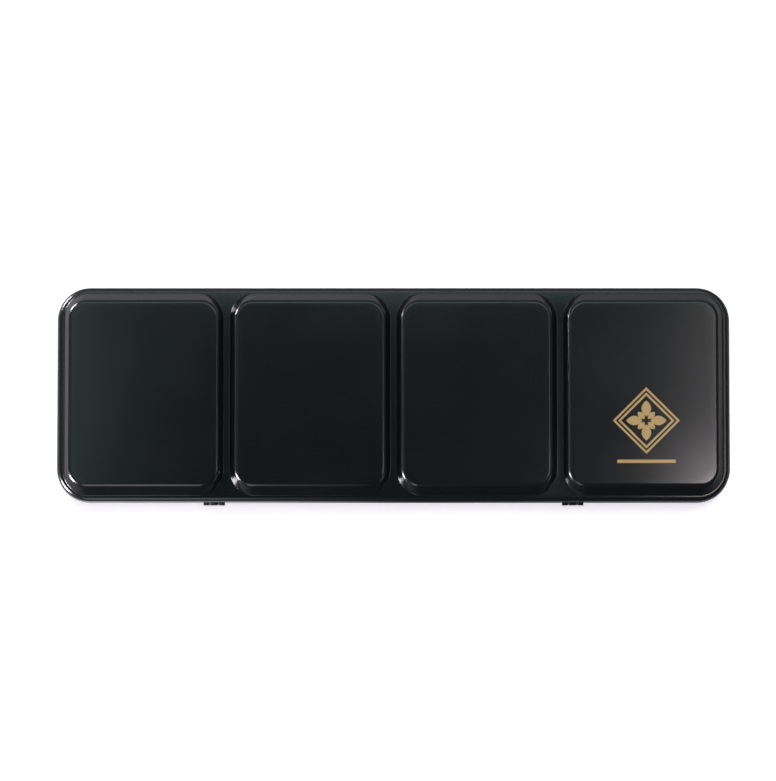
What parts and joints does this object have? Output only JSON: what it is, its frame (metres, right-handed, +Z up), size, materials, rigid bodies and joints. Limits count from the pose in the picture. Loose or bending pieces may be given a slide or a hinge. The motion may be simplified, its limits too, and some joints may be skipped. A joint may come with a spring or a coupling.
{
  "type": "empty watercolour box",
  "caption": "Flat black metal paint tin with raised mixing wells in its hinged lid, a rack for half pans inside and a folding thumb ring below.",
  "frame": {"origin": "centre of the closed tin on the surface it stands on", "axes": "+X along the tin, to the right with the hinges towards the viewer; +Y from the hinged side to the opening side; +Z up"},
  "size_m": [0.225, 0.0728, 0.02],
  "materials": {
    "base_enamel": "satin black stoving enamel outside, white inside",
    "lid_enamel": "satin black stoving enamel outside, white inside",
    "hinge_leaves": "satin black stoving enamel",
    "hinge_pins": "drawn steel wire",
    "rack_steel": "bright tinned sheet steel",
    "ring_plating": "nickel plated wire"
  },
  "bodies": {
    "base": {"base_tray": "base_enamel", "left_hinge_base_leaf": "hinge_leaves", "right_hinge_base_leaf": "hinge_leaves", "left_hinge_pin": "hinge_pins", "right_hinge_pin": "hinge_pins", "thumb_ring_strap": "base_enamel", "rack_plate": "rack_steel", "near_outer_pan_comb": "rack_steel", "near_inner_pan_comb": "rack_steel", "far_inner_pan_comb": "rack_steel", "far_outer_pan_comb": "rack_steel", "left_rack_end": "rack_steel", "right_rack_end": "rack_steel"},
    "lid": {"lid": "lid_enamel", "left_hinge_lid_leaf": "hinge_leaves", "right_hinge_lid_leaf": "hinge_leaves"},
    "thumb_ring": {"thumb_ring": "ring_plating"}
  },
  "joints": [
    {"name": "lid_hinge", "type": "hinge", "parent": "base", "child": "lid", "pos_m": [0, -0.0359, 0.01], "axis": [1, 0, 0], "range_deg": [0, 180]},
    {"name": "thumb_ring_hinge", "type": "hinge", "parent": "base", "child": "thumb_ring", "pos_m": [0, 0, 0.0017], "axis": [-1, 0, 0], "range_deg": [0, 180]}
  ]
}
